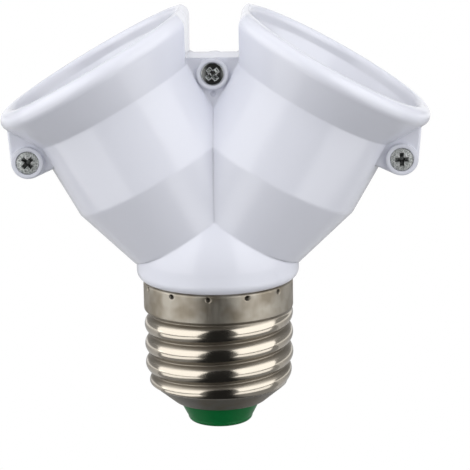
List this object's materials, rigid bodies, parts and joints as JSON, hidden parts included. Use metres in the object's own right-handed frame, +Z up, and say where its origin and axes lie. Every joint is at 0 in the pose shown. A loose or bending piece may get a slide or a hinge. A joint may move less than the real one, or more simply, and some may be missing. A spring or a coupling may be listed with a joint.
{
  "type": "lamp socket adapter",
  "caption": "Y-shaped lamp socket splitter: a screw base below feeds screw sockets in flared plastic cups on slanted arms above.",
  "frame": {"origin": "on the axis of the screw base, where the housing's neck meets the top edge of the metal base shell", "axes": "+Z up along the screw base's axis, +X towards the right-hand cup, -Y towards the screw heads at the front"},
  "size_m": [0.0748, 0.039, 0.0743],
  "materials": {
    "white_plastic": "glossy moulding",
    "nickel_sheet": "nickel plated, drawn and rolled",
    "green_insulator": "glossy moulding",
    "contact_brass": "plain stamped strip",
    "zinc_steel": "zinc plated",
    "carrier_plastic": "matt moulding",
    "wire_sleeve": "plain extruded sleeve"
  },
  "bodies": {
    "root": {"front_housing": "white_plastic", "rear_housing": "white_plastic", "base_shell": "nickel_sheet", "base_insulator": "green_insulator", "base_contact": "contact_brass", "live_link": "contact_brass", "live_wire": "wire_sleeve", "contact_rivets": "contact_brass", "housing_screws": "zinc_steel", "socket_shell_left": "nickel_sheet", "socket_shell_right": "nickel_sheet", "contact_carrier_left": "carrier_plastic", "contact_carrier_right": "carrier_plastic", "centre_contact_left": "contact_brass", "centre_contact_right": "contact_brass", "neutral_strip_left": "contact_brass", "neutral_strip_right": "contact_brass"}
  },
  "joints": []
}
